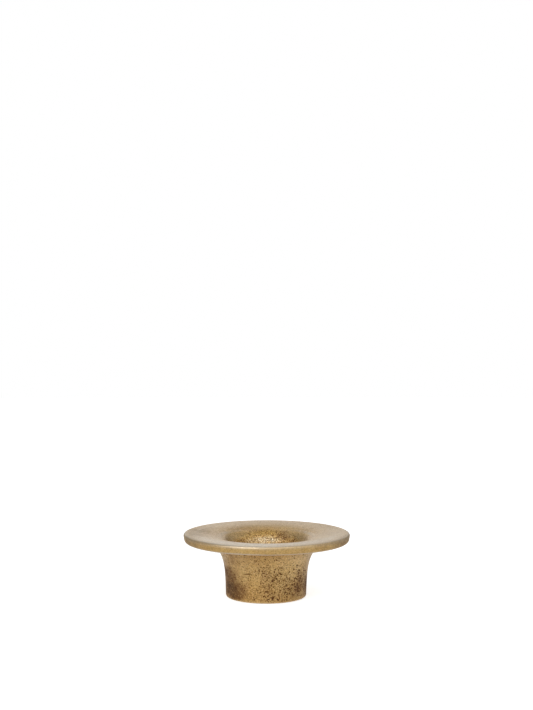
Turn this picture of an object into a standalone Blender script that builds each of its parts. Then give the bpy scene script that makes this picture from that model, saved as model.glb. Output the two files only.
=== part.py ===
"""A cast brass holder for one slim pillar candle, standing on a table.

The holder is one heavy casting: a round cup whose wall flares at the top, like a trumpet,
into a broad flat rim. The candle stands on the floor of the cup, inside its well. A felt
pad sits in a shallow recess under the cup, held there by a disc of adhesive film, and the
holder rests on it.

The table is the plane Z = 0, the axis of the cup is the Z axis, and units are metres.
Run it with: blender --background --python part.py
"""

import math

import bmesh
import bpy
from mathutils import Matrix

MM = 0.001

# Driving dimensions
RIM_RADIUS = 50.0 * MM
OVERALL_HEIGHT = 38.2 * MM  # from the table to the top of the rim
RIM_THICKNESS = 5.4 * MM
CUP_RADIUS = 24.0 * MM  # outside, at the foot
WELL_RADIUS = 20.4 * MM  # clears a candle 40 mm across
WELL_DEPTH = 32.0 * MM  # from the top of the rim to the floor of the well
DRAFT = 0.033  # how much either cup wall widens per unit of height, so that the pattern draws
STAND_PROUD = 0.4 * MM  # the pad lifts the brass off the table by this much

# The rim's edge
RIM_TOP_ROUNDING = 1.4 * MM
RIM_LOWER_ROUNDING = 2.2 * MM
RIM_EDGE_TAPER = 0.35 * MM  # the edge leans in towards its lower side by this much

# Both walls flare along a quarter of a superellipse: the higher its exponent, the tighter it turns
OUTER_FLARE_EXPONENT = 3.7
OUTER_FLARE_STEPS = 14
INNER_FLARE_EXPONENT = 5.4
INNER_FLARE_STEPS = 18
INNER_FLARE_FOOT = 12.2 * MM  # height at which the well starts to widen
# The inner flare would level off out past the rim and just above it, so the dish slopes all the
# way to a narrow flat land, which cuts the flare off.
INNER_FLARE_REACH = 48.8 * MM
INNER_FLARE_OVERSHOOT = 0.09 * MM

# The foot and the pieces under it
FOOT_ROUNDING = 0.9 * MM
FLOOR_FILLET = 1.6 * MM
RECESS_RADIUS = 20.6 * MM
FELT_RADIUS = 20.0 * MM
FELT_THICKNESS = 1.6 * MM
FELT_EDGE_ROUNDING = 0.25 * MM
FILM_RADIUS = 19.6 * MM
FILM_THICKNESS = 0.2 * MM
FIT_GAP = 0.3 * MM  # between pieces that touch

AXIS_STEPS = 72  # facets round the axis
ROUNDING_STEPS = 4  # facets across each rounding of the casting
MERGE_DISTANCE = 0.00001
SHARP_ANGLE = math.radians(32)

RIM_TOP = OVERALL_HEIGHT
RIM_UNDERSIDE = RIM_TOP - RIM_THICKNESS
WELL_FLOOR = RIM_TOP - WELL_DEPTH
FOOT = STAND_PROUD
FILM_BOTTOM = FELT_THICKNESS + FIT_GAP
RECESS_TOP = FILM_BOTTOM + FILM_THICKNESS + FIT_GAP


def clear_scene():
    for thing in list(bpy.data.objects):
        bpy.data.objects.remove(thing, do_unlink=True)


def collection(name):
    made = bpy.data.collections.new(name)
    bpy.context.scene.collection.children.link(made)
    return made


def principled(name, colour, roughness, metallic=0.0):
    material = bpy.data.materials.new(name)
    material.use_nodes = True
    shader = material.node_tree.nodes["Principled BSDF"]
    shader.inputs["Base Color"].default_value = (*colour, 1.0)
    shader.inputs["Roughness"].default_value = roughness
    shader.inputs["Metallic"].default_value = metallic
    return material


def arc(centre, radius, start, end):
    """Points of an arc in the (r, z) plane. Angles are in degrees, from +r towards +z."""
    points = []
    for i in range(ROUNDING_STEPS + 1):
        angle = math.radians(start + (end - start) * i / ROUNDING_STEPS)
        points.append(
            (centre[0] + radius * math.cos(angle), centre[1] + radius * math.sin(angle))
        )
    return points


def flare(foot, top, cut_height, exponent, steps):
    """Points of a trumpet's flank, upright at its foot and level at its top.

    foot and top are its two ends, and cut_height is where it stops, at or below the top. The
    wall's draft is part of the way that it goes out.
    """
    rise = top[1] - foot[1]
    draft = DRAFT * rise
    reach = top[0] - foot[0] - draft
    last_turn = math.asin(((cut_height - foot[1]) / rise) ** (0.5 * exponent))
    points = []
    for i in range(steps + 1):
        turn = last_turn * i / steps
        up = math.sin(turn) ** (2.0 / exponent)
        out = 1.0 - math.cos(turn) ** (2.0 / exponent)
        points.append((foot[0] + draft * up + reach * out, foot[1] + rise * up))
    return points


def well_profile():
    """The inside of the cup, from the axis along the floor and up the wall to the rim's land."""
    floor_corner = (WELL_RADIUS - FLOOR_FILLET, WELL_FLOOR + FLOOR_FILLET)
    foot_radius = WELL_RADIUS + DRAFT * (INNER_FLARE_FOOT - WELL_FLOOR)
    wall = flare(
        (foot_radius, INNER_FLARE_FOOT),
        (foot_radius + INNER_FLARE_REACH, RIM_TOP + INNER_FLARE_OVERSHOOT),
        RIM_TOP,
        INNER_FLARE_EXPONENT,
        INNER_FLARE_STEPS,
    )
    return [
        (0.0, WELL_FLOOR),
        *arc(floor_corner, FLOOR_FILLET, -90, 0),
        *wall,
    ]


def rim_edge_profile():
    """Round the rim's edge, from the land on its top to its underside."""
    lower_radius = RIM_RADIUS - RIM_EDGE_TAPER - RIM_LOWER_ROUNDING
    top_centre = (RIM_RADIUS - RIM_TOP_ROUNDING, RIM_TOP - RIM_TOP_ROUNDING)
    lower_centre = (lower_radius, RIM_UNDERSIDE + RIM_LOWER_ROUNDING)
    return [
        *arc(top_centre, RIM_TOP_ROUNDING, 90, 0),
        *arc(lower_centre, RIM_LOWER_ROUNDING, 0, -90),
    ]


def outside_profile():
    """From the rim's lower rounding down the outside of the cup and round its foot."""
    wall = flare(
        (CUP_RADIUS, FOOT + FOOT_ROUNDING),
        (RIM_RADIUS - RIM_EDGE_TAPER - RIM_LOWER_ROUNDING, RIM_UNDERSIDE),
        RIM_UNDERSIDE,
        OUTER_FLARE_EXPONENT,
        OUTER_FLARE_STEPS,
    )
    foot_centre = (CUP_RADIUS - FOOT_ROUNDING, FOOT + FOOT_ROUNDING)
    # The flare's two ends are points of the rounding above it and of the foot's rounding
    return [
        *reversed(wall[1:-1]),
        *arc(foot_centre, FOOT_ROUNDING, 0, -90),
    ]


def recess_profile():
    """The recess for the felt pad, from the foot in to the axis."""
    return [
        (RECESS_RADIUS, FOOT),
        (RECESS_RADIUS, RECESS_TOP),
        (0.0, RECESS_TOP),
    ]


def turned(name, profile):
    """A solid of revolution, from a profile that starts and ends on the axis."""
    outline = bpy.data.meshes.new(name + "_profile")
    vertices = [(r, 0.0, z) for r, z in profile]
    edges = [(i, i + 1) for i in range(len(profile) - 1)]
    outline.from_pydata(vertices, edges, [])
    solid = bpy.data.objects.new(name, outline)
    screw = solid.modifiers.new("Turn", "SCREW")
    screw.axis = "Z"
    screw.angle = 2.0 * math.pi
    screw.steps = AXIS_STEPS
    screw.render_steps = AXIS_STEPS
    screw.use_merge_vertices = True
    screw.merge_threshold = MERGE_DISTANCE
    screw.use_smooth_shade = True
    return solid


def disc(name, radius, thickness, rounding):
    """A flat disc that stands on its own origin, with its edges rounded if rounding isn't 0."""
    mesh = bpy.data.meshes.new(name)
    shape = bmesh.new()
    bmesh.ops.create_cone(
        shape,
        cap_ends=True,
        segments=AXIS_STEPS,
        radius1=radius,
        radius2=radius,
        depth=thickness,
        matrix=Matrix.Translation((0.0, 0.0, 0.5 * thickness)),
    )
    shape.to_mesh(mesh)
    shape.free()
    mesh.shade_smooth()
    mesh.set_sharp_from_angle(angle=SHARP_ANGLE)
    solid = bpy.data.objects.new(name, mesh)
    if rounding:
        bevel = solid.modifiers.new("Edge", "BEVEL")
        bevel.width = rounding
        bevel.segments = 2
        bevel.limit_method = "ANGLE"
        bevel.angle_limit = SHARP_ANGLE
    return solid


def place(solid, parts, holder, height, material):
    parts.objects.link(solid)
    solid.parent = holder
    solid.location = (0.0, 0.0, height)
    solid.data.materials.append(material)


def main():
    clear_scene()
    parts = collection("pillar_candle_holder")
    holder = bpy.data.objects.new("pillar_candle_holder", None)
    parts.objects.link(holder)

    brass = principled("cast_brass", (0.56, 0.39, 0.17), 0.42, metallic=1.0)
    felt = principled("wool_felt", (0.045, 0.038, 0.032), 0.95)
    film = principled("adhesive_film", (0.72, 0.66, 0.50), 0.45)

    casting = turned(
        "brass_casting",
        well_profile() + rim_edge_profile() + outside_profile() + recess_profile(),
    )
    place(casting, parts, holder, 0.0, brass)

    adhesive = disc("adhesive_film", FILM_RADIUS, FILM_THICKNESS, 0.0)
    place(adhesive, parts, holder, FILM_BOTTOM, film)

    pad = disc("felt_pad", FELT_RADIUS, FELT_THICKNESS, FELT_EDGE_ROUNDING)
    place(pad, parts, holder, 0.0, felt)


main()
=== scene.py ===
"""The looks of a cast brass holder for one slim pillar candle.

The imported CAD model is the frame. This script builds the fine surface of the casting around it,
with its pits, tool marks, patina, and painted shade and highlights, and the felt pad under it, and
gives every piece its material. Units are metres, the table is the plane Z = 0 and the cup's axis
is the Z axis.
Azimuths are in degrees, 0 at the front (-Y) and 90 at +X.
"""

import math

import bpy
import numpy as np
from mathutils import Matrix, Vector, kdtree, noise


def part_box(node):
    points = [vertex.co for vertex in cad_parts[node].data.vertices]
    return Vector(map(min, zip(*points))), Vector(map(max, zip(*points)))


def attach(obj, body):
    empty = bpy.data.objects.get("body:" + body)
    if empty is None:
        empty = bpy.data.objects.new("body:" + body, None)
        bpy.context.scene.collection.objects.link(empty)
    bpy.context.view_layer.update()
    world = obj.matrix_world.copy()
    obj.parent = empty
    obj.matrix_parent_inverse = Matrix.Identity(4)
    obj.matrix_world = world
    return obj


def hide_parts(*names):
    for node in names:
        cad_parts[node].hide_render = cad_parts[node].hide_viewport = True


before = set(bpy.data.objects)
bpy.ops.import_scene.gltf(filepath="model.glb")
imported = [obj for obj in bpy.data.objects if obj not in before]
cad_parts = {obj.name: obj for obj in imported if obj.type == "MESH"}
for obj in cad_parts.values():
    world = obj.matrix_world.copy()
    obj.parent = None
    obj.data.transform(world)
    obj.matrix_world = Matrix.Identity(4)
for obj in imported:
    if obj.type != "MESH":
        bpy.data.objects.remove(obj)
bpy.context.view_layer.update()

MM = 0.001
BODY = "root"

# The casting's sizes, from the frame
CASTING_LOW, CASTING_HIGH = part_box("brass_casting")
RIM_RADIUS = CASTING_HIGH.x
RIM_TOP = CASTING_HIGH.z
FOOT = CASTING_LOW.z

# The casting's own shape, the same as in the CAD model but for the rounding of the recess
RIM_THICKNESS = 5.4 * MM
RIM_UNDERSIDE = RIM_TOP - RIM_THICKNESS
RIM_TOP_ROUNDING = 1.4 * MM
RIM_LOWER_ROUNDING = 2.2 * MM
RIM_EDGE_TAPER = 0.35 * MM
CUP_RADIUS = 24.0 * MM
WELL_RADIUS = 20.4 * MM
WELL_DEPTH = 32.0 * MM
WELL_FLOOR = RIM_TOP - WELL_DEPTH
FLOOR_FILLET = 1.6 * MM
DRAFT = 0.033
OUTER_FLARE_EXPONENT = 3.7
INNER_FLARE_EXPONENT = 5.4
INNER_FLARE_FOOT = 12.2 * MM
INNER_FLARE_REACH = 48.8 * MM
INNER_FLARE_OVERSHOOT = 0.09 * MM
FOOT_ROUNDING = 0.9 * MM
RECESS_RADIUS = 20.6 * MM
RECESS_TOP = 2.4 * MM
RECESS_ROUNDING = 0.3 * MM

# Radii at which the inner wall goes over from one zone to the next, from the well outwards
UPPER_WELL_RADIUS = 22.2 * MM
THROAT_RADIUS = 24.5 * MM
MOUTH_RADIUS = 27.0 * MM
DISH_RADIUS = 30.0 * MM
UNDERSIDE_RADIUS = 33.0 * MM  # beyond it, the outer flare is the rim's underside

# The fine surface
ROUND_STEPS = 384
ARC_STEPS = 40
FLARE_STEPS = 400
EDGE_TOP_WEAR_AND_HIGHLIGHT_SPLIT = 14  # the edge's top rounding is paler for this many of its ARC_STEPS: worn, and painted as a bright highlight line
EDGE_LOW_WEAR_AND_REFLECTION_SPLIT = 21  # and its lower rounding from this one on: worn, and painted as a reflection of the floor
SKIN_BLENDING = 8  # passes of evened
WEAR_AND_HIGHLIGHT_BLENDING = 2
POLE_RADIUS = 0.05 * MM  # the mesh closes on the axis with a fan this wide
CUP_LEAN = 0.35 * MM  # the cup's foot sits this far off the rim's centre, towards -X
CUP_LEAN_HEIGHT = 10.0 * MM  # all of the lean is reached here, on the way down from the rim
CUP_SWELL = 0.25 * MM  # the outside of the cup is this much fuller, less its waves and grain
SWELL_INNER_RADIUS = 26.0 * MM  # the swell fades out over the flare, from this radius
SWELL_OUTER_RADIUS = 36.0 * MM  # to this one
GRAIN_SIZE = 1.0 * MM
GRAIN_DEPTH = 0.02 * MM
WAVE_SIZE = 14.0 * MM
WAVE_DEPTH = 0.05 * MM

# The rough inside of the well
GRIT_DEPTH = 0.10 * MM
GRIT_RADIUS = 32.0 * MM  # it starts here at the front and back of the mouth
GRIT_SIDE_PULL = 8.0 * MM  # and this much further in at the left and right, as seen from the front, which paints shade on the mouth there
GRIT_FADE = 6.5 * MM  # and is complete after this much more
GRIT_TOP = 33.0 * MM  # it also starts at this height, all round
GRIT_FULL = 29.0 * MM  # and is complete at this one
CUP_GRIT = 0.15  # what the outside of the cup has of it

# Casting pits
PIT_SEED = 34
PIT_COUNT = 2200
PIT_RADIUS = 0.30 * MM  # the smallest; the largest is PIT_SPREAD wider
PIT_SPREAD = 0.32 * MM
PIT_SCATTER = 0.18 * MM  # off the mesh's own grid, so that pits don't line up
PIT_SHALLOWEST, PIT_DEEPEST = 0.2, 0.45  # depths, as shares of the radius
PIT_FULL_DEPTH = 0.16 * MM  # a pit this deep is as dark as pits get
PITTED_SKIN = 0.8  # pits only form where more than this much of the casting skin is left

# Soft patches: darker and paler ones, ones that paint light, shade and highlights, and where the
# pits crowd. On the cup's two walls each is (azimuth, height, half width in degrees, half height,
# strength), and on the rim (azimuth, radius, half width in degrees, half breadth, strength).
# Darker patches on the cup, most of them low down
CUP_DARK_PATCHES = (
    (-62, 7.0 * MM, 31, 7.5 * MM, 0.95),
    (-62, 14.5 * MM, 28, 7.5 * MM, 0.75),
    (-44, 24.0 * MM, 26, 8.0 * MM, 0.35),
    (76, 8.0 * MM, 16, 7.0 * MM, 0.8),
    (57, 10.0 * MM, 20, 9.0 * MM, 0.42),
    (34, 5.0 * MM, 26, 6.0 * MM, 0.25),
    (135, 8.0 * MM, 30, 6.0 * MM, 0.6),
    (-150, 10.0 * MM, 26, 7.0 * MM, 0.7),
)
# Darker patches in the well
WELL_DARK_PATCHES = (
    (153, 32.5 * MM, 14, 2.8 * MM, 0.65),
    (-137, 30.0 * MM, 14, 2.2 * MM, 0.45),
    (137, 30.0 * MM, 16, 2.2 * MM, 0.45),
    (0, 20.0 * MM, 60, 6.0 * MM, 0.4),
)
# Darker patches on the rim. The two at 53 mm radius are painted shade on the ends of its edge, at
# the left and right as seen from the front.
RIM_DARK_PATCHES = (
    (-97, 42.0 * MM, 24, 9.0 * MM, 0.62),
    (-80, 43.0 * MM, 16, 7.0 * MM, 0.6),
    (88, 42.0 * MM, 30, 8.0 * MM, 0.2),
    (70, 53.0 * MM, 30, 5.0 * MM, 1.0),
    (-72, 53.0 * MM, 26, 5.0 * MM, 0.9),
    (120, 44.0 * MM, 25, 6.0 * MM, 0.3),
)
# Paler patches on the cup
CUP_PALE_PATCHES = (
    (-20, 22.0 * MM, 30, 9.0 * MM, 0.3),
    (32, 16.0 * MM, 14, 5.0 * MM, 0.45),
    (42, 24.0 * MM, 34, 7.0 * MM, 0.6),
    (170, 19.0 * MM, 30, 8.0 * MM, 0.3),
)
# Painted light in the well, laid on as rubbed brass. The first is a painted highlight with glints
# low on the back wall. The two at the sides paint light on the mouth at its left and right as seen
# from the front. The last is a paler patch on the near wall at the front left.
WELL_PAINTED_LIGHT = (
    (-177, 29.6 * MM, 27, 2.1 * MM, 1.0),
    (-118, 34.2 * MM, 30, 2.6 * MM, 0.75),
    (118, 34.2 * MM, 30, 2.6 * MM, 0.75),
    (-60, 27.0 * MM, 40, 6.0 * MM, 0.3),
)
# Painted highlights on the rim, laid on as rubbed brass: one on the top rounding at the front left,
# and a painted reflection across the front half of the dish.
RIM_PAINTED_HIGHLIGHTS = (
    (-14, 48.9 * MM, 14, 0.6 * MM, 0.4),
    (0, 42.5 * MM, 100, 5.0 * MM, 0.6),
)
CUP_CROWDS = (
    (40, 8.5 * MM, 34, 9.5 * MM, 1.0),
    (8, 4.0 * MM, 30, 6.0 * MM, 0.8),
    (-8, 28.5 * MM, 36, 5.0 * MM, 0.38),
    (10, 15.0 * MM, 22, 9.0 * MM, 0.9),
    (22, 22.0 * MM, 18, 5.0 * MM, 0.25),
    (54, 14.0 * MM, 14, 6.0 * MM, 0.85),
    (-160, 12.0 * MM, 40, 10.0 * MM, 0.8),
    (120, 18.0 * MM, 30, 9.0 * MM, 0.6),
)
WELL_CROWDS = (
    (152, 32.5 * MM, 18, 3.5 * MM, 1.0),
    (-165, 33.5 * MM, 24, 3.0 * MM, 0.5),
    (20, 18.0 * MM, 50, 8.0 * MM, 0.6),
)

# Round here the wear is raised, to paint the key light's highlight on the rim paler: azimuth, half
# width in degrees, how much more
PAINTED_HIGHLIGHT_FRONT = (-17, 26, 1.3)

# Pits that stand out on the cup: azimuth, height, radius
BIG_PITS = (
    (20, 21.3 * MM, 0.55 * MM),
    (51, 18.4 * MM, 0.55 * MM),
    (22, 17.6 * MM, 0.42 * MM),
    (4, 9.2 * MM, 0.48 * MM),
    (27, 6.6 * MM, 0.60 * MM),
    (34, 8.8 * MM, 0.50 * MM),
    (19, 3.4 * MM, 0.50 * MM),
    (-28, 25.0 * MM, 0.40 * MM),
)

# Marks left by dressing the cup: azimuths of both ends, height, depth
TOOL_MARKS = (
    (-33, -19, 17.4 * MM, 0.15 * MM),
    (-31, -20, 15.9 * MM, 0.05 * MM),
    (-30, -17, 13.9 * MM, 0.06 * MM),
    (-24, -12, 10.9 * MM, 0.05 * MM),
    (57, 74, 17.2 * MM, 0.06 * MM),
    (160, 178, 14.0 * MM, 0.06 * MM),
)
TOOL_MARK_HALF_WIDTH = 0.42 * MM
TOOL_MARK_TILT = 0.25 * MM  # a mark ends this much higher than its middle, and starts as much lower
TOOL_MARK_DARKNESS = 0.7  # next to a pit of the same depth

# The felt pad
PAD_STEPS = 192
PAD_RING_SPACING = 0.55 * MM
PAD_EDGE_ROUNDING = 0.45 * MM
PAD_FLUFF_SIZE = 0.9 * MM
PAD_FLUFF_DEPTH = 0.04 * MM
PAD_DIP_SIZE = 5.0 * MM
PAD_DIP_DEPTH = 0.04 * MM

# Colours of the brass: clouds in the casting skin
BRASS = (0.58, 0.355, 0.108)
LIGHT_BRASS = (0.67, 0.442, 0.162)
RED_BRASS = (0.50, 0.27, 0.11)
DARK_BRASS = (0.34, 0.205, 0.075)
# The rough well, the hollows in it, and the dressed rim
GRITTY_BRASS = (0.90, 0.60, 0.19)
HOLLOW_BRASS = (0.34, 0.15, 0.035)
DRESSED_BRASS = (0.58, 0.370, 0.090)
# Patina, on dressed brass and on the casting skin; the same colours paint shade in some patches
THIN_PATINA_AND_SHADE = (0.40, 0.26, 0.105), (0.36, 0.175, 0.055)
THICK_PATINA_AND_SHADE = (0.21, 0.155, 0.085), (0.085, 0.042, 0.020)
# Flecks, pits and pores
DARK_FLECK = (0.17, 0.070, 0.022)
BRIGHT_FLECK = (0.86, 0.60, 0.26)
PIT_BOTTOM = (0.085, 0.026, 0.008)
# Paler brass where it is worn, and where highlights and glints are painted: on the dressed rim, on
# the casting skin and in the well
WORN_AND_HIGHLIT_DRESSED = (0.74, 0.68, 0.58)
WORN_AND_HIGHLIT_SKIN = (0.80, 0.57, 0.26)
WORN_AND_HIGHLIT_GRIT = (1.0, 0.88, 0.64)
BUMP_DEPTH = 0.05 * MM

# The floor, a plane this wide
FLOOR_SIZE = 6.0
FLOOR_GREY = (0.70, 0.70, 0.70)
FLOOR_GLOW_ON_OBJECT = 0.22

# The camera, level, at the photograph's distance and height
CAMERA_DISTANCE = 662.6 * MM
CAMERA_HEIGHT = 144.9 * MM
CAMERA_SIDE = -0.12 * MM
LENS = 55.8  # this and the sensor are in millimetres
SENSOR_WIDTH = 36.0

# Square softboxes: name, azimuth, elevation, distance, side, watts
SOFTBOXES = (
    ("key", -32, 31, 1.8, 1.4, 21.0),
    ("front_right", 38, 38, 1.8, 1.8, 13.2),
    ("left", -122, 28, 2.6, 3.0, 4.4),
    ("right", 106, 30, 2.6, 3.0, 10.0),
    ("back_high", 180, 65, 1.8, 1.2, 4.8),
    ("back", 180, 12, 1.8, 1.2, 3.6),
    ("back_left", -150, 22, 2.6, 2.6, 4.3),
    ("back_right", 148, 24, 2.6, 2.6, 2.6),
)
WORLD_STRENGTH = 0.05  # on the object


# ---------------------------------------------------------------- profile of the casting


def arc(centre, radius, start, end):
    """Points of an arc in the (r, z) plane. Angles are in degrees, from +r towards +z."""
    points = []
    for i in range(ARC_STEPS + 1):
        angle = math.radians(start + (end - start) * i / ARC_STEPS)
        points.append(
            (centre[0] + radius * math.cos(angle), centre[1] + radius * math.sin(angle))
        )
    return points


def flare(foot, top, cut_height, exponent):
    """Points of a trumpet's flank, upright at its foot and level at its top.

    foot and top are its two ends, and cut_height is where it stops, at or below the top.
    """
    rise = top[1] - foot[1]
    draft = DRAFT * rise
    reach = top[0] - foot[0] - draft
    last_turn = math.asin(((cut_height - foot[1]) / rise) ** (0.5 * exponent))
    points = []
    for i in range(FLARE_STEPS + 1):
        turn = last_turn * i / FLARE_STEPS
        up = math.sin(turn) ** (2.0 / exponent)
        out = 1.0 - math.cos(turn) ** (2.0 / exponent)
        points.append((foot[0] + draft * up + reach * out, foot[1] + rise * up))
    return points


def respaced(points, spacing):
    """The same line, with its points evenly spaced along it, about spacing apart."""
    line = np.array(points)
    along = np.concatenate([[0.0], np.cumsum(np.hypot(*np.diff(line, axis=0).T))])
    count = max(2, round(along[-1] / spacing) + 1)
    even = np.linspace(0.0, along[-1], count)
    return np.column_stack([np.interp(even, along, line[:, i]) for i in range(2)])


def evened(values, passes):
    """Values along the profile, averaged with their neighbours so that zones blend."""
    for _ in range(passes):
        values = np.convolve(np.pad(values, 1, mode="edge"), [0.25, 0.5, 0.25], mode="valid")
    return values


def between(points, low, high):
    """The points of a profile whose radius is from low up to high."""
    return [point for point in points if low <= point[0] < high]


def casting_rings():
    """Rings of the casting from the well's floor round to the recess under the foot.

    Each is (radius, height, skin, wear and highlights). Skin is how much of the rough casting skin
    is left, and the last is how much the brass is made paler, for wear and for painted highlights
    and reflections on the rim's roundings, both from 0 to 1.
    """
    floor_corner = (WELL_RADIUS - FLOOR_FILLET, WELL_FLOOR + FLOOR_FILLET)
    inner_foot = WELL_RADIUS + DRAFT * (INNER_FLARE_FOOT - WELL_FLOOR)
    inner = flare(
        (inner_foot, INNER_FLARE_FOOT),
        (inner_foot + INNER_FLARE_REACH, RIM_TOP + INNER_FLARE_OVERSHOOT),
        RIM_TOP,
        INNER_FLARE_EXPONENT,
    )
    lower_well = between(inner, 0.0, UPPER_WELL_RADIUS)
    upper_well = between(inner, UPPER_WELL_RADIUS, THROAT_RADIUS)
    throat = between(inner, THROAT_RADIUS, MOUTH_RADIUS)
    mouth = between(inner, MOUTH_RADIUS, DISH_RADIUS)
    dish = between(inner, DISH_RADIUS, RIM_RADIUS)
    top_centre = (RIM_RADIUS - RIM_TOP_ROUNDING, RIM_TOP - RIM_TOP_ROUNDING)
    lower_centre = (
        RIM_RADIUS - RIM_EDGE_TAPER - RIM_LOWER_ROUNDING,
        RIM_UNDERSIDE + RIM_LOWER_ROUNDING,
    )
    outer = flare(
        (CUP_RADIUS, FOOT + FOOT_ROUNDING),
        (lower_centre[0], RIM_UNDERSIDE),
        RIM_UNDERSIDE,
        OUTER_FLARE_EXPONENT,
    )[::-1]
    underside = between(outer, UNDERSIDE_RADIUS, RIM_RADIUS)
    cup = outer[len(underside) - 1 :]
    foot_centre = (CUP_RADIUS - FOOT_ROUNDING, FOOT + FOOT_ROUNDING)
    lip_centre = (RECESS_RADIUS + RECESS_ROUNDING, FOOT + RECESS_ROUNDING)
    nook_centre = (RECESS_RADIUS - RECESS_ROUNDING, RECESS_TOP - RECESS_ROUNDING)
    edge_top = arc(top_centre, RIM_TOP_ROUNDING, 90, 0)
    edge_low = arc(lower_centre, RIM_LOWER_ROUNDING, 0, -90)
    foot_round = arc(foot_centre, FOOT_ROUNDING, 0, -90)
    lip = arc(lip_centre, RECESS_ROUNDING, -90, -180)
    nook = arc(nook_centre, RECESS_ROUNDING, 0, 90)
    # Each section: its points, the spacing of its rings in mm, skin, wear and painted highlight
    sections = [
        ([(POLE_RADIUS, WELL_FLOOR), (floor_corner[0], WELL_FLOOR)], 1.3, 0.7, 0.0),
        (arc(floor_corner, FLOOR_FILLET, -90, 0), 0.5, 0.9, 0.0),
        ([(WELL_RADIUS, floor_corner[1]), inner[0]], 0.6, 1.0, 0.0),
        ([*lower_well, upper_well[0]], 0.6, 1.0, 0.0),
        ([*upper_well, throat[0]], 0.36, 1.0, 0.0),
        ([*throat, mouth[0]], 0.36, 0.75, 0.0),
        ([*mouth, dish[0]], 0.36, 0.4, 0.0),
        (dish, 0.8, 0.3, 0.1),
        ([dish[-1], edge_top[0]], 0.7, 0.2, 0.2),
        (edge_top[: EDGE_TOP_WEAR_AND_HIGHLIGHT_SPLIT + 1], 0.2, 0.1, 0.7),
        (edge_top[EDGE_TOP_WEAR_AND_HIGHLIGHT_SPLIT:], 0.27, 0.1, 0.25),
        ([edge_top[-1], edge_low[0]], 0.45, 0.12, 0.0),
        (edge_low[: EDGE_LOW_WEAR_AND_REFLECTION_SPLIT + 1], 0.35, 0.12, 0.0),
        (edge_low[EDGE_LOW_WEAR_AND_REFLECTION_SPLIT:], 0.3, 0.15, 1.0),
        (underside, 0.75, 0.7, 0.0),
        (cup, 0.375, 1.0, 0.0),
        (foot_round, 0.28, 0.5, 0.6),
        ([foot_round[-1], lip[0]], 0.8, 0.3, 0.5),
        (lip, 0.24, 0.3, 0.4),
        ([lip[-1], nook[0]], 0.7, 0.6, 0.0),
        (nook, 0.24, 0.6, 0.0),
        ([nook[-1], (POLE_RADIUS, RECESS_TOP)], 4.0, 0.6, 0.0),
    ]
    rings = []
    for points, spacing, skin, wear_and_highlights in sections:
        line = respaced(points, spacing * MM)
        start = 1 if rings else 0
        rings += [(r, z, skin, wear_and_highlights) for r, z in line[start:]]
    rings = np.array(rings)
    rings[:, 2] = evened(rings[:, 2], SKIN_BLENDING)
    rings[:, 3] = evened(rings[:, 3], WEAR_AND_HIGHLIGHT_BLENDING)
    return rings


# ---------------------------------------------------------------- turned surfaces


def turned_points(radius, height, steps):
    """Positions and outward normals, ring by ring, of a profile turned round the axis."""
    run, climb = np.gradient(radius), np.gradient(height)
    length = np.hypot(run, climb)
    angle = np.arange(steps) * 2.0 * math.pi / steps
    cosine, sine, one = np.cos(angle), np.sin(angle), np.ones(steps)

    def turned(r, z):
        grid = [np.outer(r, cosine), np.outer(r, sine), np.outer(z, one)]
        return np.stack(grid, axis=-1).reshape(-1, 3)

    return turned(radius, height), turned(-climb / length, run / length)


def turned_mesh(name, points, first_pole, last_pole, steps, layers):
    """A closed mesh from rings of points and the two poles that close it on the axis.

    layers holds the mesh's named values, one for each point: the poles take a neighbour's.
    """
    rows = np.arange(len(points)).reshape(-1, steps)
    after = np.roll(rows, -1, axis=1)
    corners = [rows[:-1], rows[1:], after[1:], after[:-1]]
    faces = np.stack(corners, axis=-1).reshape(-1, 4).tolist()
    first_index, last_index = len(points), len(points) + 1
    faces += [(first_index, int(a), int(b)) for a, b in zip(rows[0], after[0])]
    faces += [(last_index, int(b), int(a)) for a, b in zip(rows[-1], after[-1])]
    mesh = bpy.data.meshes.new(name)
    mesh.from_pydata(points.tolist() + [first_pole, last_pole], [], faces)
    for layer_name, values in layers.items():
        layer = mesh.attributes.new(layer_name, "FLOAT", "POINT")
        values = np.concatenate([values, values[:1], values[-1:]])
        layer.data.foreach_set("value", values.astype(np.float32))
    mesh.shade_smooth()
    return mesh


def smooth_step(low, high, value):
    """From 0 where value is low to 1 where it is high. Low may be the larger of the two."""
    t = np.clip((value - low) / (high - low), 0.0, 1.0)
    return t * t * (3.0 - 2.0 * t)


def noise_at(points, scale, seed):
    """Smooth noise from -1 to 1, whose lumps are about scale across."""
    shift = Vector((seed * 17.3, seed * 5.1, seed * 9.7))
    return np.array([noise.noise(Vector(p) / scale + shift) for p in points])


# ---------------------------------------------------------------- surface of the casting


def azimuths(points):
    return np.degrees(np.arctan2(points[:, 0], -points[:, 1]))


def radii(points):
    return np.hypot(points[:, 0], points[:, 1])


def turn_between(azimuth, centre):
    """How far round each azimuth is from centre, the short way."""
    return (azimuth - centre + 180.0) % 360.0 - 180.0


def patches(azimuth, along, places):
    """The strongest of some soft round patches at each point."""
    total = np.zeros(len(azimuth))
    for centre, middle, half_width, half_length, strength in places:
        across = turn_between(azimuth, centre) / half_width
        away = (along - middle) / half_length
        total = np.maximum(total, strength * np.exp(-(across**2 + away**2)))
    return total


def zone_patches(points, zones, on_cup, in_well, on_rim=()):
    """The strength of the patches at each point, each tuple of them within its own zone."""
    azimuth, height = azimuths(points), points[:, 2]
    return (
        zones["cup"] * patches(azimuth, height, on_cup)
        + zones["well"] * patches(azimuth, height, in_well)
        + zones["rim"] * patches(azimuth, radii(points), on_rim)
    )


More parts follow.
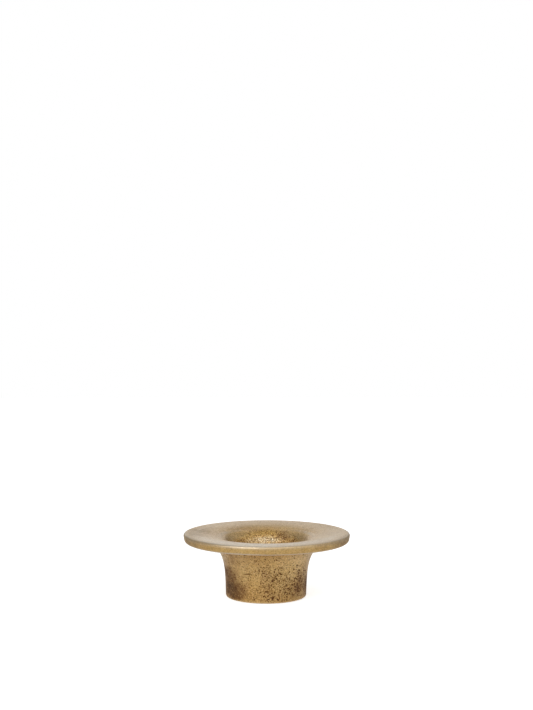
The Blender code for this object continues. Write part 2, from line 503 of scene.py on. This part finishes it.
def patina_and_shade_at(points, zones, skin):
    """How dark the patina and the painted shade are, from 0 to 1: listed ragged patches, some of
    them painted shade, and patina clouds in the skin.
    """
    chosen = zone_patches(points, zones, CUP_DARK_PATCHES, WELL_DARK_PATCHES, RIM_DARK_PATCHES)
    ragged = 0.85 + 0.3 * noise_at(points, 3.5 * MM, 4) + 0.2 * noise_at(points, 1.6 * MM, 5)
    clouds = smooth_step(0.05, 0.6, noise_at(points, 12.0 * MM, 6)) * 0.22
    return np.clip(chosen * ragged + clouds * skin, 0.0, 1.0)


def pale_and_highlight_patches_at(points, zones):
    """How much paler the brass is made in the listed patches, from 0 to 1: paler patches on the
    cup, painted light in the well and painted highlights on the rim.
    """
    chosen = zone_patches(points, zones, CUP_PALE_PATCHES, WELL_PAINTED_LIGHT, RIM_PAINTED_HIGHLIGHTS)
    return np.clip(chosen * (0.9 + 0.6 * noise_at(points, 2.5 * MM, 10)), 0.0, 1.0)


def highlight_wear_factor_at(points):
    """What the wear of the rings is multiplied by, from 1 up, which paints the highlight at the
    front of the rim paler.
    """
    centre, half_width, extra = PAINTED_HIGHLIGHT_FRONT
    across = turn_between(azimuths(points), centre) / half_width
    return 1.0 + extra * np.exp(-(across**2))


def crowd_at(points, zones, patina_and_shade):
    """How crowded pits and pores are, from 0 to 1.

    They crowd in the listed patches and in clouds, and a little more in the patina and painted
    shade and in the well.
    """
    chosen = zone_patches(points, zones, CUP_CROWDS, WELL_CROWDS)
    clouds = smooth_step(-0.3, 0.6, noise_at(points, 6.0 * MM, 3))
    everywhere = 0.13 + 0.22 * clouds + 0.1 * patina_and_shade + 0.15 * zones["well"]
    return np.clip(everywhere + 0.62 * chosen, 0.0, 1.0)


def grit_at(points, zones, skin):
    """How rough the skin is: most in the well and its mouth, and a little on the cup."""
    from_axis = radii(points)
    rough_radius = GRIT_RADIUS - GRIT_SIDE_PULL * np.abs(points[:, 0]) / from_axis
    mouth = smooth_step(rough_radius, rough_radius - GRIT_FADE, from_axis)
    deep = smooth_step(GRIT_TOP, GRIT_FULL, points[:, 2])
    return skin * np.where(zones["cup"], CUP_GRIT, np.maximum(mouth, deep))


def pit_depths(points, outward, skin, crowd, areas):
    """Depth of the pits at each point: many random bowls outside the cup, and the big ones."""
    random = np.random.default_rng(PIT_SEED)
    chance = areas * (skin > PITTED_SKIN) * outward * (0.03 + crowd**2)
    places = random.choice(len(points), size=PIT_COUNT, replace=False, p=chance / chance.sum())
    bowls = []
    for i in places:
        radius = PIT_RADIUS + PIT_SPREAD * random.random() ** 3
        centre = points[i] + random.uniform(-PIT_SCATTER, PIT_SCATTER, 3)
        bowls.append((centre, radius, radius * random.uniform(PIT_SHALLOWEST, PIT_DEEPEST)))
    outside = points[outward]
    for azimuth, height, radius in BIG_PITS:
        away = np.hypot(
            np.radians(turn_between(azimuths(outside), azimuth)) * CUP_RADIUS,
            outside[:, 2] - height,
        )
        bowls.append((outside[np.argmin(away)], radius, radius * PIT_DEEPEST))
    tree = kdtree.KDTree(len(points))
    for i, p in enumerate(points):
        tree.insert(p, i)
    tree.balance()
    depth = np.zeros(len(points))
    for centre, radius, deep in bowls:
        for _, j, away in tree.find_range(centre, radius):
            depth[j] = max(depth[j], deep * (1.0 - (away / radius) ** 2) ** 1.5)
    return depth


def tool_marks(points, outward):
    """Depth of the short, nearly level scores on the cup, each fading out at its ends."""
    azimuth = azimuths(points)
    depth = np.zeros(len(points))
    for start, end, height, deep in TOOL_MARKS:
        middle, half = 0.5 * (start + end), 0.5 * (end - start)
        across = turn_between(azimuth, middle) / half
        line = height + TOOL_MARK_TILT * across
        near = 1.0 - ((points[:, 2] - line) / TOOL_MARK_HALF_WIDTH) ** 2
        fade = 1.0 - across**2
        share = np.clip(near, 0.0, 1.0) * np.sqrt(np.clip(fade, 0.0, 1.0))
        depth = np.maximum(depth, deep * share)
    return np.where(outward, depth, 0.0)


def casting_mesh():
    """The casting's fine surface, with the named values that its material reads."""
    rings = casting_rings()
    radius, height = rings[:, 0], rings[:, 1]
    points, normals = turned_points(radius, height, ROUND_STEPS)
    skin = np.repeat(rings[:, 2], ROUND_STEPS)
    wear_and_highlights = np.repeat(rings[:, 3], ROUND_STEPS)
    widths = np.hypot(np.gradient(radius), np.gradient(height))
    areas = np.repeat(widths * radius, ROUND_STEPS)
    from_axis = radii(points)
    facing = (points[:, 0] * normals[:, 0] + points[:, 1] * normals[:, 1]) / from_axis
    outward = facing > 0.0

    # The foot's flat ring and the recess under it are treated as part of the well
    on_rim = (points[:, 2] > RIM_UNDERSIDE) & (from_axis > DISH_RADIUS)
    zones = {"rim": on_rim, "cup": outward & ~on_rim, "well": ~outward & ~on_rim}
    # Some of the dark patches are painted shade, on the ends of the rim's edge at the left and
    # right
    patina_and_shade = patina_and_shade_at(points, zones, skin)
    # The pale patches include painted light in the well and painted highlights on the rim
    paled_and_highlit = pale_and_highlight_patches_at(points, zones)
    patina_and_shade *= 1.0 - paled_and_highlit
    # The wear is raised at the front to paint the rim's highlight paler, and the patches add their
    # painted light
    wear_and_highlights = np.clip(wear_and_highlights * highlight_wear_factor_at(points) + paled_and_highlit, 0.0, 1.0)
    crowd = crowd_at(points, zones, patina_and_shade)
    grit = grit_at(points, zones, skin)
    pits = pit_depths(points, outward, skin, crowd, areas)
    marks = tool_marks(points, outward)

    grain = (1.0 - noise_at(points, GRAIN_SIZE, 1)) * (GRAIN_DEPTH * skin + GRIT_DEPTH * grit)
    waves = (1.2 - noise_at(points, WAVE_SIZE, 2)) * WAVE_DEPTH * (0.3 + 0.7 * skin)
    swollen = smooth_step(SWELL_OUTER_RADIUS, SWELL_INNER_RADIUS, from_axis)
    swell = CUP_SWELL * np.clip(facing, 0.0, 1.0) * swollen
    sunk = np.maximum(pits, marks) + grain + waves - swell
    moved = points - normals * sunk[:, None]
    moved[:, 0] -= CUP_LEAN * smooth_step(RIM_TOP, CUP_LEAN_HEIGHT, points[:, 2])
    layers = {
        "pit": (pits + TOOL_MARK_DARKNESS * marks) / PIT_FULL_DEPTH,
        "skin": skin,
        "wear_and_highlights": wear_and_highlights,
        "patina_and_shade": patina_and_shade,
        "crowd": crowd,
        "grit": grit,
    }
    floor_pole, recess_pole = (0.0, 0.0, WELL_FLOOR), (0.0, 0.0, RECESS_TOP)
    return turned_mesh("casting", moved, floor_pole, recess_pole, ROUND_STEPS, layers)


# ---------------------------------------------------------------- felt pad


def pad_mesh():
    """The felt pad: a disc with soft edges and the slightly uneven faces of cut felt."""
    low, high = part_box("felt_pad")
    edge, rounding = high.x, PAD_EDGE_ROUNDING
    outline = [
        (POLE_RADIUS, high.z),
        *arc((edge - rounding, high.z - rounding), rounding, 90, 0),
        *arc((edge - rounding, low.z + rounding), rounding, 0, -90),
        (POLE_RADIUS, low.z),
    ]
    rings = respaced(outline, PAD_RING_SPACING)
    points, normals = turned_points(rings[:, 0], rings[:, 1], PAD_STEPS)
    fluff = PAD_FLUFF_DEPTH * (1.0 - noise_at(points, PAD_FLUFF_SIZE, 8))
    dips = PAD_DIP_DEPTH * (1.0 - noise_at(points, PAD_DIP_SIZE, 9))
    moved = points - normals * (fluff + dips)[:, None]
    mean_depth = PAD_FLUFF_DEPTH + PAD_DIP_DEPTH
    poles = (0.0, 0.0, high.z - mean_depth), (0.0, 0.0, low.z + mean_depth)
    return turned_mesh("felt_pad_fine", moved, *poles, PAD_STEPS, {})


# ---------------------------------------------------------------- materials


def new_material(name):
    """A material, its node tree and the shader in it."""
    material = bpy.data.materials.new(name)
    material.use_nodes = True
    return material, material.node_tree, material.node_tree.nodes["Principled BSDF"]


def add(tree, kind, links=(), **settings):
    """A shader node. links maps socket names or numbers to values or to other sockets."""
    made = tree.nodes.new(kind)
    for name, value in settings.items():
        setattr(made, name, value)
    for name, value in dict(links).items():
        if isinstance(value, bpy.types.NodeSocket):
            tree.links.new(value, made.inputs[name])
        else:
            made.inputs[name].default_value = value
    return made


def maths(tree, operation, a, b):
    return add(tree, "ShaderNodeMath", {0: a, 1: b}, operation=operation).outputs[0]


def spread(tree, value, low, high, to_low=0.0, to_high=1.0):
    """value, taken smoothly from the range low to high to the range to_low to to_high."""
    ends = {"From Min": low, "From Max": high, "To Min": to_low, "To Max": to_high}
    links = {"Value": value, **ends}
    made = add(tree, "ShaderNodeMapRange", links, interpolation_type="SMOOTHSTEP")
    return made.outputs["Result"]


def blend(tree, amount, a, b):
    """Colour a where amount is 0, and colour b where it is 1."""
    made = add(tree, "ShaderNodeMix", data_type="RGBA")
    for socket, value in ((made.inputs[0], amount), (made.inputs[6], a), (made.inputs[7], b)):
        if isinstance(value, bpy.types.NodeSocket):
            tree.links.new(value, socket)
        elif isinstance(value, tuple):
            socket.default_value = (*value, 1.0)
        else:
            socket.default_value = value
    return made.outputs[2]


def cloud(tree, place, size, detail=3.0, roughness=0.5):
    """Noise whose lumps are about size across, from 0 to 1."""
    links = {"Vector": place, "Scale": 1.0 / size, "Detail": detail, "Roughness": roughness}
    return add(tree, "ShaderNodeTexNoise", links).outputs["Fac"]


def blend_value(tree, amount, a, b):
    """Value a where amount is 0, and value b where it is 1."""
    links = {0: amount, 2: a, 3: b}
    return add(tree, "ShaderNodeMix", links, data_type="FLOAT").outputs[0]


def layer(tree, name):
    """A named value of the mesh."""
    return add(tree, "ShaderNodeAttribute", attribute_name=name).outputs["Fac"]


def pores(tree, place, spacing, share, width):
    """Round pores, 1 in the middle of each and 0 between them.

    share is how many of the cells hold one, from 0 to 1, and width is their radius in spacings.
    """
    cells = add(tree, "ShaderNodeTexVoronoi", {"Vector": place, "Scale": 1.0 / spacing})
    chance = add(tree, "ShaderNodeSeparateColor", {"Color": cells.outputs["Color"]})
    size = spread(tree, chance.outputs["Green"], 0.0, 1.0, 0.7 * width, 1.2 * width)
    inside = maths(tree, "SUBTRACT", size, cells.outputs["Distance"])
    held = maths(tree, "SUBTRACT", share, chance.outputs["Red"])
    pore, there = spread(tree, inside, -0.06, 0.10), spread(tree, held, -0.03, 0.03)
    return maths(tree, "MULTIPLY", pore, there)


def brass_material():
    """Lacquered cast brass: flecked and pored skin, dark patina and painted shade, worn places with
    painted highlights and glints, and rough places.
    """
    material, tree, shader = new_material("antique_cast_brass")
    place = add(tree, "ShaderNodeTexCoord").outputs["Object"]
    pit, skin, wear_and_highlights = layer(tree, "pit"), layer(tree, "skin"), layer(tree, "wear_and_highlights")
    patina_and_shade, crowd, grit = layer(tree, "patina_and_shade"), layer(tree, "crowd"), layer(tree, "grit")

    warm = cloud(tree, place, 11.0 * MM)
    hue = cloud(tree, place, 4.0 * MM, detail=2.0)
    mottle = cloud(tree, place, 1.9 * MM, detail=4.0, roughness=0.6)
    fleck = cloud(tree, place, 0.65 * MM, detail=2.0, roughness=0.6)
    grain = cloud(tree, place, 0.30 * MM, detail=2.0)
    lumps = cloud(tree, place, 0.80 * MM, detail=2.0)

    # Brass in lighter, redder and darker clouds, bright with dark hollows in the rough well
    colour = blend(tree, spread(tree, warm, 0.35, 0.68), BRASS, LIGHT_BRASS)
    colour = blend(tree, spread(tree, hue, 0.52, 0.75, 0.0, 0.35), colour, RED_BRASS)
    colour = blend(tree, spread(tree, mottle, 0.48, 0.70, 0.0, 0.45), colour, DARK_BRASS)
    colour = blend(tree, maths(tree, "MULTIPLY", grit, 0.8), colour, GRITTY_BRASS)
    colour = blend(tree, spread(tree, skin, 0.0, 0.5, 0.6, 0.0), colour, DRESSED_BRASS)
    hollows = maths(tree, "MULTIPLY", grit, spread(tree, lumps, 0.52, 0.42, 0.0, 0.8))
    colour = blend(tree, hollows, colour, HOLLOW_BRASS)

    # Patina, red-brown where it is thin on the casting skin, and greyer on the dressed rim; in some
    # of its patches it is painted shade
    thin = blend(tree, skin, *THIN_PATINA_AND_SHADE)
    thick = blend(tree, skin, *THICK_PATINA_AND_SHADE)
    ragged = maths(tree, "MULTIPLY", mottle, patina_and_shade)
    dusk = maths(tree, "MULTIPLY", maths(tree, "ADD", patina_and_shade, ragged), 0.7)
    colour = blend(tree, spread(tree, dusk, 0.0, 0.75, 0.0, 0.95), colour, thin)
    colour = blend(tree, spread(tree, dusk, 0.15, 1.05), colour, thick)

    # Dark and bright flecks, pores, and the bottoms of pits
    fleck_share = spread(tree, skin, 0.3, 0.8, 0.65, 1.0)
    flecks = maths(tree, "MULTIPLY", spread(tree, fleck, 0.48, 0.66), fleck_share)
    flecked = maths(tree, "MULTIPLY", flecks, spread(tree, crowd, 0.1, 0.8, 0.48, 0.75))
    colour = blend(tree, flecked, colour, DARK_FLECK)
    bright = maths(tree, "MULTIPLY", spread(tree, fleck, 0.46, 0.32), fleck_share)
    colour = blend(tree, maths(tree, "MULTIPLY", bright, 0.45), colour, BRIGHT_FLECK)
    coarse = pores(tree, place, 1.2 * MM, spread(tree, crowd, 0.2, 0.9, 0.02, 0.92), 0.28)
    fine = pores(tree, place, 0.72 * MM, spread(tree, crowd, 0.05, 0.9, 0.08, 0.90), 0.32)
    in_pores = maths(tree, "MULTIPLY", maths(tree, "MAXIMUM", coarse, fine), skin)
    dark = maths(tree, "MAXIMUM", in_pores, spread(tree, pit, 0.05, 0.6))
    colour = blend(tree, maths(tree, "MULTIPLY", dark, 0.92), colour, PIT_BOTTOM)

    # Paler metal where it is worn and where highlights and glints are painted, in specks on the
    # rough skin
    specks = spread(tree, lumps, 0.40, 0.54, 0.2, 1.0)
    paled_and_highlit = maths(tree, "MULTIPLY", wear_and_highlights, blend_value(tree, skin, 0.8, specks))
    paled_and_highlit = maths(tree, "MULTIPLY", paled_and_highlit, maths(tree, "SUBTRACT", 1.0, dark))
    worn_and_highlit_colour = blend(tree, spread(tree, skin, 0.3, 0.7), WORN_AND_HIGHLIT_DRESSED, WORN_AND_HIGHLIT_SKIN)
    worn_and_highlit_colour = blend(tree, grit, worn_and_highlit_colour, WORN_AND_HIGHLIT_GRIT)
    colour = blend(tree, paled_and_highlit, colour, worn_and_highlit_colour)
    tree.links.new(colour, shader.inputs["Base Color"])

    # Patina, painted shade and the bottoms of pits are dull. They hold little lacquer, and so does
    # the well
    dull = maths(tree, "MAXIMUM", dusk, dark)
    tree.links.new(spread(tree, dull, 0.0, 1.0, 1.0, 0.45), shader.inputs["Metallic"])
    lacquer = spread(tree, maths(tree, "MAXIMUM", dull, grit), 0.0, 0.7, 1.0, 0.0)
    lacquer = maths(tree, "MULTIPLY", lacquer, spread(tree, fleck, 0.36, 0.62, 1.0, 0.35))
    tree.links.new(lacquer, shader.inputs["Coat Weight"])
    shader.inputs["Specular IOR Level"].default_value = 0.15
    shader.inputs["Coat Roughness"].default_value = 0.3
    rough = spread(tree, mottle, 0.3, 0.7, 0.37, 0.49)
    rough = maths(tree, "ADD", rough, maths(tree, "MULTIPLY", dull, 0.20))
    rough = maths(tree, "ADD", rough, maths(tree, "MULTIPLY", grit, 0.06))
    rough = maths(tree, "ADD", rough, spread(tree, skin, 0.25, 0.1, 0.0, 0.12))
    tree.links.new(rough, shader.inputs["Roughness"])

    # The finest relief: grain all over, lumps where the skin is dressed and most in the well
    dressed = maths(tree, "SUBTRACT", 1.0, skin)
    unevenness = blend_value(tree, grit, maths(tree, "MULTIPLY", dressed, 3.0), 16.0)
    height = maths(tree, "MULTIPLY", grain, 0.35)
    height = maths(tree, "ADD", height, maths(tree, "MULTIPLY", lumps, unevenness))
    height = maths(tree, "SUBTRACT", height, maths(tree, "MULTIPLY", flecks, 0.4))
    height = maths(tree, "SUBTRACT", height, in_pores)
    bump = add(tree, "ShaderNodeBump", {"Height": height, "Strength": 1.0, "Distance": BUMP_DEPTH})
    tree.links.new(bump.outputs["Normal"], shader.inputs["Normal"])
    return material


def felt_material():
    """Dark wool felt, lighter along its fibres."""
    material, tree, shader = new_material("wool_felt")
    place = add(tree, "ShaderNodeTexCoord").outputs["Object"]
    fibres = cloud(tree, place, 0.35 * MM, detail=5.0, roughness=0.75)
    tufts = cloud(tree, place, 2.5 * MM)
    between_fibres, on_fibres = (0.022, 0.018, 0.015), (0.075, 0.063, 0.052)
    colour = blend(tree, spread(tree, fibres, 0.35, 0.7), between_fibres, on_fibres)
    colour = blend(tree, maths(tree, "MULTIPLY", tufts, 0.3), colour, (0.05, 0.042, 0.035))
    tree.links.new(colour, shader.inputs["Base Color"])
    shader.inputs["Roughness"].default_value = 1.0
    shader.inputs["Specular IOR Level"].default_value = 0.2
    shader.inputs["Sheen Weight"].default_value = 0.3
    bump = add(tree, "ShaderNodeBump", {"Height": fibres, "Strength": 0.8, "Distance": 0.2 * MM})
    tree.links.new(bump.outputs["Normal"], shader.inputs["Normal"])
    return material


def film_material():
    """Yellowish adhesive film, with streaks of glue."""
    material, tree, shader = new_material("adhesive_film")
    place = add(tree, "ShaderNodeTexCoord").outputs["Object"]
    streaks = cloud(tree, place, 3.0 * MM, detail=4.0)
    colour = blend(tree, spread(tree, streaks, 0.35, 0.65), (0.66, 0.60, 0.44), (0.76, 0.71, 0.57))
    tree.links.new(colour, shader.inputs["Base Color"])
    tree.links.new(spread(tree, streaks, 0.3, 0.7, 0.35, 0.55), shader.inputs["Roughness"])
    return material


def floor_material():
    """A white table. To the camera it glows, most far out, so that it blends into the backdrop."""
    material, tree, shader = new_material("pale_floor")
    shader.inputs["Base Color"].default_value = (*FLOOR_GREY, 1.0)
    shader.inputs["Roughness"].default_value = 0.9
    shader.inputs["Emission Color"].default_value = (1.0, 1.0, 1.0, 1.0)
    place = add(tree, "ShaderNodeTexCoord").outputs["Object"]
    away = add(tree, "ShaderNodeVectorMath", {0: place}, operation="LENGTH").outputs["Value"]
    glow = spread(tree, away, 0.15, 0.9, 0.72, 1.0)
    seen = add(tree, "ShaderNodeLightPath").outputs["Is Camera Ray"]
    strength = blend_value(tree, seen, FLOOR_GLOW_ON_OBJECT, glow)
    tree.links.new(strength, shader.inputs["Emission Strength"])
    return material


# ---------------------------------------------------------------- pieces and studio


def piece(name, mesh, material, node):
    """A piece of the visual model, which stands for one node of the frame."""
    made = bpy.data.objects.new(name, mesh)
    bpy.context.scene.collection.objects.link(made)
    mesh.materials.append(material)
    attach(made, BODY)
    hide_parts(node)
    return made


def make_floor():
    bpy.ops.mesh.primitive_plane_add(size=FLOOR_SIZE, location=(0.0, 0.0, 0.0))
    floor = bpy.context.object
    floor.name = "floor"
    floor.data.materials.append(floor_material())


def softbox(name, azimuth, elevation, distance, side, power):
    """A square area light that faces the foot of the cup."""
    light = bpy.data.lights.new(name, "AREA")
    light.shape = "SQUARE"
    light.size = side
    light.energy = power
    made = bpy.data.objects.new(name, light)
    bpy.context.scene.collection.objects.link(made)
    turn, climb = math.radians(azimuth), math.radians(elevation)
    level = math.cos(climb)
    place = Vector((math.sin(turn) * level, -math.cos(turn) * level, math.sin(climb)))
    made.location = place * distance
    made.rotation_euler = (-place).to_track_quat("-Z", "Y").to_euler()


def make_world():
    """A white backdrop to the camera, which lights the object only dimly."""
    world = bpy.data.worlds.new("studio")
    bpy.context.scene.world = world
    world.use_nodes = True
    tree = world.node_tree
    background = tree.nodes["Background"]
    background.inputs["Color"].default_value = (1.0, 1.0, 1.0, 1.0)
    seen = add(tree, "ShaderNodeLightPath").outputs["Is Camera Ray"]
    strength = spread(tree, seen, 0.0, 1.0, WORLD_STRENGTH, 1.0)
    tree.links.new(strength, background.inputs["Strength"])


def make_camera():
    data = bpy.data.cameras.new("camera")
    data.lens = LENS
    data.sensor_width = SENSOR_WIDTH
    data.clip_start = 0.01
    camera = bpy.data.objects.new("camera", data)
    bpy.context.scene.collection.objects.link(camera)
    camera.location = (CAMERA_SIDE, -CAMERA_DISTANCE, CAMERA_HEIGHT)
    camera.rotation_euler = (math.radians(90.0), 0.0, 0.0)
    bpy.context.scene.camera = camera


make_camera()
make_world()
for settings in SOFTBOXES:
    softbox(*settings)
make_floor()
bpy.context.scene.view_settings.view_transform = "Standard"

piece("casting", casting_mesh(), brass_material(), "brass_casting")
pad = piece("pad", pad_mesh(), felt_material(), "felt_pad")
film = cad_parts["adhesive_film"]
film.data.materials.clear()
film.data.materials.append(film_material())
